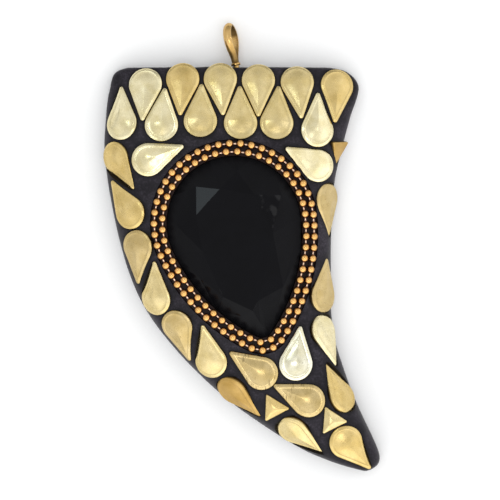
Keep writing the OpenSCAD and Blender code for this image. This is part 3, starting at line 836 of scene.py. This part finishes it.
def triangle_ring(corner, blunt, inset, steps=(10, 4)):
    """Outline of a triangle drawn in by an inset, its corners just rounded."""
    reach = corner - 2 * inset - blunt
    rows = []
    for k in range(3):
        way = 2 * math.pi / 3 * k
        turn = np.linspace(way - math.pi / 3, way + math.pi / 3, steps[1] + 1)
        rows.append(reach * np.array([math.cos(way), math.sin(way)])
                    + blunt * np.column_stack([np.cos(turn), np.sin(turn)]))
    t = np.linspace(0, 1, steps[0] + 1)[1:-1, None]
    sides = [rows[k][-1] + t * (rows[(k + 1) % 3][0] - rows[k][-1]) for k in range(3)]
    return np.concatenate([part for pair in zip(rows, sides) for part in pair])


def raise_rings(name, rings):
    """Models a piece from the bottom up: a filled circle, shaped to the first ring, is extruded once for
    each further ring and shaped to it, and a point is set in the middle of the last face."""
    select_none()
    bpy.ops.mesh.primitive_circle_add(vertices=len(rings[0]), radius=MM, fill_type="NGON")
    piece = added(name)
    bpy.ops.object.mode_set(mode="EDIT")
    bpy.context.tool_settings.mesh_select_mode = (False, False, True)
    bpy.ops.mesh.select_all(action="SELECT")
    corners = None
    for ring in rings:
        if corners is not None:
            bpy.ops.mesh.extrude_region_move()
        shape = bmesh.from_edit_mesh(piece.data)
        face = next(f for f in shape.faces if f.select)
        now = np.array([v.co for v in face.verts])
        if corners is None:
            match = range(len(now))
        else:
            match = np.linalg.norm(now[:, None] - corners[None], axis=2).argmin(axis=1)
        for vert, i in zip(face.verts, match):
            vert.co = Vector(ring[i])
        bmesh.update_edit_mesh(piece.data)
        corners = np.asarray(ring)
    bpy.ops.mesh.poke(offset=0)
    turn_out()
    return piece


def level(outline, z):
    return np.column_stack([outline, np.full(len(outline), z)])


def bevel_level(piece, z, width, segments):
    """Rounds the ring of edges at a height."""
    alone(piece)
    bpy.ops.object.mode_set(mode="EDIT")
    count = select_where(piece, "edges", lambda e: all(abs(v.co.z - z) < 1e-8 for v in e.verts))
    if not count:
        raise RuntimeError(f"{piece.name} has no edges at {z}")
    bpy.ops.mesh.bevel(offset=width, segments=segments, profile=0.5)
    bpy.ops.object.mode_set(mode="OBJECT")


def darken_wall(piece):
    """Marks painted shade on the wall of a brass piece, where it sinks into its pocket: clean down to 0.03
    mm below the resin's surface, and dark from 0.1 mm down."""
    mark(piece, "border", np.clip((-0.03 * MM - points_of(piece)[:, 2]) / (0.07 * MM), 0, 1))


def brass_finish(inlay, node):
    """Material for a brass piece, from the table of finishes."""
    name = next((key for key, row in FINISHES.items() if node in row[-1]), "mid_brass")
    colour, roughness, specks, strokes, _ = FINISHES[name]
    return metal_material(name, getattr(inlay, colour), inlay.tarnish, roughness, specks, strokes)


def place_inlay(master, node, matrix, inlay, seed):
    """Copies a master brass piece onto its seat, with a face and soft dents of its own."""
    piece = copy_of(master, Matrix.Identity(4))
    piece.name = piece.data.name = "brass_" + node
    points = points_of(piece)
    top = points[:, 2] > inlay.rim * 0.5
    crest = inlay.rim + inlay.border_rise
    if node in ROUNDER:
        points[:, 2] += inlay.rounder * np.maximum(0, points[:, 2] - crest)
    if node in BEATEN:
        fall = inlay.beaten * np.maximum(0, inlay.beaten_edge - points[:, 0])
        points[:, 2] -= fall * np.clip((points[:, 2] - inlay.rim) / inlay.border_rise, 0, 1)
    points[top, 2] += inlay.dent * ripple(points[top], inlay.dent_length, seed)
    set_points(piece, points)
    piece.data.transform(matrix)
    set_material(piece, brass_finish(inlay, node))
    smooth(piece, 40)
    ride(piece, "inlay_brass", node)


class PENDANT_OT_drops(bpy.types.Operator):
    """Models one brass drop and sets a copy with its own dents in each pocket"""

    bl_idname = "pendant.drops"
    bl_label = "Brass drops"

    def execute(self, context):
        inlay = context.scene.pendant_inlay
        nodes = sorted(n for n in NODES if n.startswith("drop_"))
        seats = {n: seat_axes(n, inlay.depth, 1) for n in nodes}
        _, long, wide = seats[nodes[0]]

        def outline(inset):
            return drop_ring(long, wide, inlay.tip_radius, inset)

        crest = inlay.rim + inlay.border_rise
        middle = np.array([inlay.dome_shift, 0])
        inner = outline(inlay.border)
        rings = [level(outline(inlay.taper), -inlay.depth), level(outline(0), -inlay.depth / 3),
                 level(outline(0), inlay.rim), level(inner, crest)]
        for s in FACE_RINGS:
            sunk = inlay.groove * min(1, (1 - s) / 0.05)
            risen = (inlay.dome_rise + inlay.groove) * max(0, 1 - (s / 0.93) ** 2) ** 1.4
            rings.append(level(middle + s * (inner - middle), crest - sunk + risen))
        master = raise_rings("drop_master", rings)
        bevel_level(master, inlay.rim, inlay.rim_round, 3)
        bevel_level(master, crest, inlay.crest_round, 2)
        darken_wall(master)
        for i, node in enumerate(nodes):
            place_inlay(master, node, seats[node][0], inlay, SEED + i)
        remove(master)
        return {"FINISHED"}


class PENDANT_OT_triangles(bpy.types.Operator):
    """Models the small brass triangles with their low points"""

    bl_idname = "pendant.triangles"
    bl_label = "Brass triangles"

    def execute(self, context):
        inlay = context.scene.pendant_inlay
        for i, (node, peak) in enumerate(PEAKS.items()):
            matrix, corner, _ = seat_axes(node, inlay.depth, 3)

            def outline(inset):
                return triangle_ring(corner, inlay.tip_radius / 2, inset)

            rise = peak * corner * math.sqrt(3)
            rings = [level(outline(inlay.triangle_taper), -inlay.depth),
                     level(outline(0), -inlay.depth / 3), level(outline(0), inlay.rim)]
            rings += [level(outline(s * 0.36 * corner), inlay.rim + s * rise) for s in PEAK_RINGS]
            master = raise_rings(node + "_master", rings)
            bevel_level(master, inlay.rim, inlay.rim_round, 3)
            darken_wall(master)
            place_inlay(master, node, matrix, inlay, SEED + 50 + i)
            remove(master)
        return {"FINISHED"}


def ball_centres(node):
    """Centres of a node's balls in their order along the chain."""
    shape = bmesh.new()
    shape.from_mesh(NODES[node].data)
    bmesh.ops.remove_doubles(shape, verts=shape.verts, dist=1e-7)
    left, centres = set(shape.verts), []
    while left:
        reached, edge = set(), [left.pop()]
        while edge:
            vert = edge.pop()
            reached.add(vert)
            for other in (e.other_vert(vert) for e in vert.link_edges):
                if other in left:
                    left.discard(other)
                    edge.append(other)
        co = np.array([v.co for v in reached])
        centres.append((co.min(axis=0) + co.max(axis=0)) / 2)
    shape.free()
    centres = np.array(centres)
    middle = centres.mean(axis=0)
    return centres[np.argsort(np.arctan2(centres[:, 1] - middle[1], centres[:, 0] - middle[0]))]


def turned_to(origin, way):
    """Matrix that stands a piece's Z along a direction at a point."""
    return Matrix.Translation(Vector(origin)) @ Vector(way).to_track_quat("Z", "Y").to_matrix().to_4x4()


class PENDANT_OT_chain(bpy.types.Operator):
    """Models a drilled ball and a pin, and strings the two rows of ball chain round the stone"""

    bl_idname = "pendant.chain"
    bl_label = "Ball chain"

    def model_ball(self, chain):
        r, bore = chain.ball / 2, chain.bore / 2
        select_none()
        bpy.ops.mesh.primitive_uv_sphere_add(segments=20, ring_count=14, radius=r)
        ball = added("ball_master")
        bpy.ops.object.mode_set(mode="EDIT")
        select_where(ball, "verts", lambda v: abs(v.co.z) > 0.999 * r)
        bpy.ops.mesh.delete(type="VERT")
        shape = bmesh.from_edit_mesh(ball.data)
        mouth = max(v.co.z for v in shape.verts)
        lip = math.sqrt(r * r - bore * bore)
        for vert in shape.verts:
            if abs(vert.co.z) > mouth - 1e-7:
                flat = Vector((vert.co.x, vert.co.y, 0)).normalized() * bore
                vert.co = Vector((flat.x, flat.y, math.copysign(lip, vert.co.z)))
        bmesh.update_edit_mesh(ball.data)
        select_where(ball, "edges", lambda e: all(abs(abs(v.co.z) - lip) < 1e-7 for v in e.verts))
        bpy.ops.mesh.extrude_region_move()
        bpy.ops.transform.resize(value=(0.9, 0.9, 0.66))
        bpy.ops.mesh.fill_holes(sides=0)
        turn_out()
        smooth(ball, 50)
        return ball

    def paint_shade_below(self, balls, centres, chain):
        """Marks painted shade on the flanks and the lower half of each ball and in its bore."""
        points = points_of(balls)
        nearest = np.concatenate([np.linalg.norm(part[:, None] - centres[None], axis=2).argmin(axis=1)
                                  for part in np.array_split(points, 16)])
        out = points - centres[nearest]
        far = np.linalg.norm(out, axis=1)
        value = np.clip(1.3 - 1.6 * out[:, 2] / far, 0, 1)
        value[far < 0.97 * chain.ball / 2] = 1
        mark(balls, "border", value)

    def model_pin(self, chain, long):
        select_none()
        bpy.ops.mesh.primitive_cylinder_add(vertices=14, radius=chain.pin / 2, depth=long)
        pin = added("pin_master")
        bpy.ops.object.mode_set(mode="EDIT")
        for at, narrow in WAIST:
            bpy.ops.mesh.select_all(action="SELECT")
            bpy.ops.mesh.bisect(plane_co=(0, 0, at * long), plane_no=(0, 0, 1))
            select_where(pin, "verts", lambda v, at=at: abs(v.co.z - at * long) < 1e-7)
            bpy.ops.transform.resize(value=(narrow, narrow, 1))
        bpy.ops.object.mode_set(mode="OBJECT")
        smooth(pin, 40)
        # Painted shade: the pin darkens towards the shade colour from near its middle out to its ends,
        # where it runs into the balls.
        mark(pin, "border", np.clip((np.abs(points_of(pin)[:, 2]) / long - 0.12) * 12, 0, 0.85))
        return pin

    def execute(self, context):
        chain = context.scene.pendant_chain
        ball = self.model_ball(chain)
        metal = metal_material("chain_gold", chain.metal, chain.shade, 0.14, clouds=0.4, scratches=0.2,
                               height=0.006 * MM)
        pin_metal = metal_material("pin_copper", chain.pin_metal, chain.shade, 0.2, specks=0.0, clouds=0.2,
                                   scratches=0.0, height=0.002 * MM)
        for row in ("outer", "inner"):
            centres = ball_centres(f"chain_{row}_balls")
            ahead, behind = np.roll(centres, -1, axis=0), np.roll(centres, 1, axis=0)
            balls = joined(f"{row}_balls", [copy_of(ball, turned_to(here, after - before))
                                            for here, after, before in zip(centres, ahead, behind)])
            self.paint_shade_below(balls, centres, chain)
            set_material(balls, metal)
            ride(balls, "chain_brass", f"chain_{row}_balls")
            pitch = np.linalg.norm(ahead - centres, axis=1)
            pin = self.model_pin(chain, pitch.mean() - chain.ball + chain.pin_hold)
            pins = joined(f"{row}_pins", [copy_of(pin, turned_to((here + after) / 2, after - here))
                                          for here, after in zip(centres, ahead)])
            set_material(pins, pin_metal)
            ride(pins, "chain_brass", f"chain_{row}_pins")
            remove(pin)
        remove(ball)
        return {"FINISHED"}


class PENDANT_OT_stone(bpy.types.Operator):
    """Dresses the cut stone: a merged copy with crisp, just worn edges"""

    bl_idname = "pendant.stone"
    bl_label = "Cut stone"

    def execute(self, context):
        settings = context.scene.pendant_stone
        stone = copy_of(NODES["stone"], Matrix.Identity(4))
        for key in list(stone.keys()):
            del stone[key]
        stone.parent = None
        stone.name = stone.data.name = "cut_stone"
        merge_all(stone)
        bpy.ops.mesh.normals_make_consistent(inside=False)
        bpy.ops.mesh.dissolve_limited(angle_limit=math.radians(0.5))
        bpy.ops.object.mode_set(mode="OBJECT")
        bevel = stone.modifiers.new("worn_edges", "BEVEL")
        bevel.width, bevel.segments = settings.edge, 2
        bevel.limit_method, bevel.angle_limit = "ANGLE", math.radians(9)
        bpy.ops.object.modifier_apply(modifier=bevel.name)
        height = points_of(stone)[:, 2]
        girdle = (height.min() + height.max()) / 2
        mark(stone, "girdle", np.clip((girdle + settings.dull_height - height) / settings.dull_fade, 0, 1))
        made, tree, shader = new_material("black_glass")
        shader.inputs["IOR"].default_value = 1.2
        place = millimetres(tree)
        clouds = noise(tree, place, 0.25, 2.0)
        tree.links.new(mixed(tree, clouds, (*settings.glass, 1), (*settings.smoke, 1)),
                       shader.inputs["Base Color"])
        polish = ramped(tree, noise(tree, place, 1.5, 3.0), 0.4, 0.8, 0.035, 0.09)
        dull = times(tree, marked(tree, "girdle"), 0.6)
        tree.links.new(maths(tree, "ADD", polish, dull, clamp=True), shader.inputs["Roughness"])
        bumped(tree, shader, noise(tree, place, 0.4, 1.0, 0.5), settings.wave)
        set_material(stone, made)
        ride(stone, "stone", "stone")
        return {"FINISHED"}


def even_curve(points, count):
    """Evenly spread points on a smooth curve through the given ones."""
    points = np.asarray(points, float)
    run = np.concatenate([[0], np.cumsum(np.linalg.norm(np.diff(points, axis=0), axis=1))])
    return smooth_curve(run, points, np.linspace(0, run[-1], count))


class PENDANT_OT_bail(bpy.types.Operator):
    """Models the bail: a strip bent to a loop, on a neck with a collar and a peg"""

    bl_idname = "pendant.bail"
    bl_label = "Bail"

    def bend_strip(self, bail):
        """The loop, with its foot at the origin, its height along Y and its width along Z."""
        side = [(x * bail.depth / 2, y * bail.height) for y, x in LOOP]
        path = even_curve(side + [(0, bail.height)] + [(-x, y) for x, y in side[::-1]], 84)
        ahead = np.gradient(path, axis=0)
        ahead /= np.linalg.norm(ahead, axis=1, keepdims=True)
        out = np.column_stack([ahead[:, 1], -ahead[:, 0]])
        across = np.linspace(-1, 1, 13)
        swell = bail.edge + (bail.thickness - bail.edge) * (1 - across ** 2) - bail.thickness
        back = np.linspace(1, -1, 7)
        lift = np.concatenate([swell, np.full(len(back), -bail.thickness)])[:, None]
        z = np.concatenate([across, back]) / 2
        wide = np.interp(path[:, 1] / bail.height, (0, 0.35), (bail.foot_width, bail.width))
        loop = raise_rings("bail_loop", [np.column_stack([here + lift * way, z * width])
                                         for here, way, width in zip(path, out, wide)])
        self.paint_shade_inside(loop, path, out, bail)
        return loop

    def paint_shade_inside(self, loop, path, out, bail):
        """Marks painted shade inside the loop and at its foot, darkens the outside a little near its top as
        a painted reflection, and leaves its middle clean.
        """
        points = points_of(loop)
        high = points[:, 1] / bail.height
        nearest = np.linalg.norm(points[:, None, :2] - path[None], axis=2).argmin(axis=1)
        from_outside = ((points[:, :2] - path[nearest]) * out[nearest]).sum(axis=1)
        within = np.interp(high, (0, 0.35, 0.45, 0.6, 0.68, 1), (0.7, 0.4, 0, 0, 0.75, 0.8))
        outside = np.interp(high, (0, 0.1, 0.36, 0.45, 0.6, 0.7, 1), (0.9, 0.6, 0.2, 0, 0, 0.12, 0.15))
        mark(loop, "border", np.where(from_outside < -0.85 * bail.thickness, within, outside))

    def turn_post(self, bail):
        """The peg, neck and collar along Y, with the horn's edge at the origin."""
        r, wide, low = bail.peg / 2, bail.collar / 2, bail.neck - bail.collar_height
        profile = (
            (-bail.peg_length, 0.8 * r), (-bail.peg_length + 0.2 * r, r), (low - 0.02 * MM, r),
            (low, 0.92 * wide), (low + 0.1 * wide, wide), (bail.neck - 0.1 * wide, wide),
            (bail.neck, 0.9 * wide), (bail.neck + 0.1 * MM, 0.6 * wide))
        turn = np.linspace(0, 2 * math.pi, 32, endpoint=False)
        circle = np.column_stack([np.cos(turn), np.zeros(len(turn)), np.sin(turn)])
        post = raise_rings("bail_post", [radius * circle + (0, y, 0) for y, radius in profile])
        mark(post, "border", np.zeros(len(post.data.vertices)))
        return post

    def execute(self, context):
        bail, inlay = context.scene.pendant_bail, context.scene.pendant_inlay
        place = Matrix.Translation(bail.foot) @ Matrix.Rotation(bail.lean, 4, "Z")
        loop, post = self.bend_strip(bail), self.turn_post(bail)
        loop.data.transform(place @ Matrix.Translation((0, bail.neck, 0))
                            @ Matrix.Rotation(math.pi / 2 - bail.turn, 4, "Y"))
        post.data.transform(place)
        piece = joined("strip_bail", [loop, post])
        smooth(piece, 40)
        set_material(piece, metal_material("bail_bronze", bail.metal, inlay.tarnish, 0.24, clouds=0.9,
                                           scratches=0.6))
        ride(piece, "bail_brass", "bail")
        return {"FINISHED"}


class PENDANT_OT_stage(bpy.types.Operator):
    """Lays the floor, hangs the soft lights and sets the camera above the pendant"""

    bl_idname = "pendant.stage"
    bl_label = "Floor, lights and camera"

    def hang_light(self, name, place, width, height, watts, colour, target):
        bpy.ops.object.light_add(type="AREA", location=place)
        light = bpy.context.active_object
        light.name = name
        light.data.shape = "RECTANGLE"
        light.data.size, light.data.size_y = width, height
        light.data.energy = watts
        light.data.color = colour
        light.rotation_euler = (target - Vector(place)).to_track_quat("-Z", "Y").to_euler()

    def execute(self, context):
        stage = context.scene.pendant_stage
        middle = Vector(stage.middle)
        select_none()
        bpy.ops.mesh.primitive_plane_add(size=3)
        floor = added("pale_floor")
        made, tree, shader = new_material("white_paper")
        grain = ramped(tree, noise(tree, millimetres(tree), 2.0, 2.0), 0.3, 0.7, 0.985, 1.0)
        tree.links.new(mixed(tree, 1.0, (*stage.floor, 1), grey(tree, grain), "MULTIPLY"),
                       shader.inputs["Base Color"])
        shader.inputs["Roughness"].default_value = 0.9
        set_material(floor, made)
        for name, place, width, height, setting, colour in LIGHTS:
            self.hang_light(name, place, width, height, getattr(stage, setting), colour, middle)
        world = bpy.data.worlds.new("soft_room")
        context.scene.world = world
        world.use_nodes = True
        tree = world.node_tree
        tree.nodes.clear()
        way = wire(tree, "ShaderNodeTexCoord").outputs["Generated"]
        axes = wire(tree, "ShaderNodeSeparateXYZ", {0: way}).outputs
        strength = stage.ambient
        for axis, *fall in ROOM:
            strength = times(tree, ramped(tree, axes[axis], *fall), strength)
        glow = wire(tree, "ShaderNodeBackground", {"Color": (1, 1, 1, 1), "Strength": strength})
        wire(tree, "ShaderNodeOutputWorld", {"Surface": glow.outputs[0]})
        camera_data = bpy.data.cameras.new("top_camera")
        camera_data.lens = stage.lens
        camera_data.clip_start, camera_data.clip_end = 0.01, 10
        camera = bpy.data.objects.new("top_camera", camera_data)
        context.collection.objects.link(camera)
        distance = stage.frame_width * stage.lens / camera_data.sensor_width
        camera.location = middle + Vector((0, 0, distance))
        context.scene.camera = camera
        context.scene.view_settings.view_transform = "Standard"
        return {"FINISHED"}


OPERATORS = (PENDANT_OT_stage, PENDANT_OT_horn, PENDANT_OT_drops, PENDANT_OT_triangles, PENDANT_OT_chain,
             PENDANT_OT_stone, PENDANT_OT_bail)
SETTINGS = {
    "pendant_horn": HornSettings, "pendant_inlay": InlaySettings, "pendant_chain": ChainSettings,
    "pendant_stone": StoneSettings, "pendant_bail": BailSettings, "pendant_stage": StageSettings}


class PENDANT_PT_panel(bpy.types.Panel):
    """Lists the pieces of the pendant and their sizes and colours"""

    bl_idname = "PENDANT_PT_panel"
    bl_label = "Horn pendant"
    bl_space_type = "VIEW_3D"
    bl_region_type = "UI"
    bl_category = "Pendant"

    def draw(self, context):
        for operator in OPERATORS:
            self.layout.operator(operator.bl_idname)
        for key, group in SETTINGS.items():
            box = self.layout.box()
            box.label(text=group.__name__.replace("Settings", ""))
            for name in group.__annotations__:
                box.prop(getattr(context.scene, key), name)


CLASSES = (*SETTINGS.values(), *OPERATORS, PENDANT_PT_panel)


def register():
    for item in CLASSES:
        bpy.utils.register_class(item)
    for key, group in SETTINGS.items():
        setattr(bpy.types.Scene, key, PointerProperty(type=group))


def unregister():
    for key in SETTINGS:
        delattr(bpy.types.Scene, key)
    for item in reversed(CLASSES):
        bpy.utils.unregister_class(item)


def main():
    register()
    for operator in OPERATORS:
        group, name = operator.bl_idname.split(".")
        getattr(getattr(bpy.ops, group), name)()


if __name__ == "__main__":
    main()
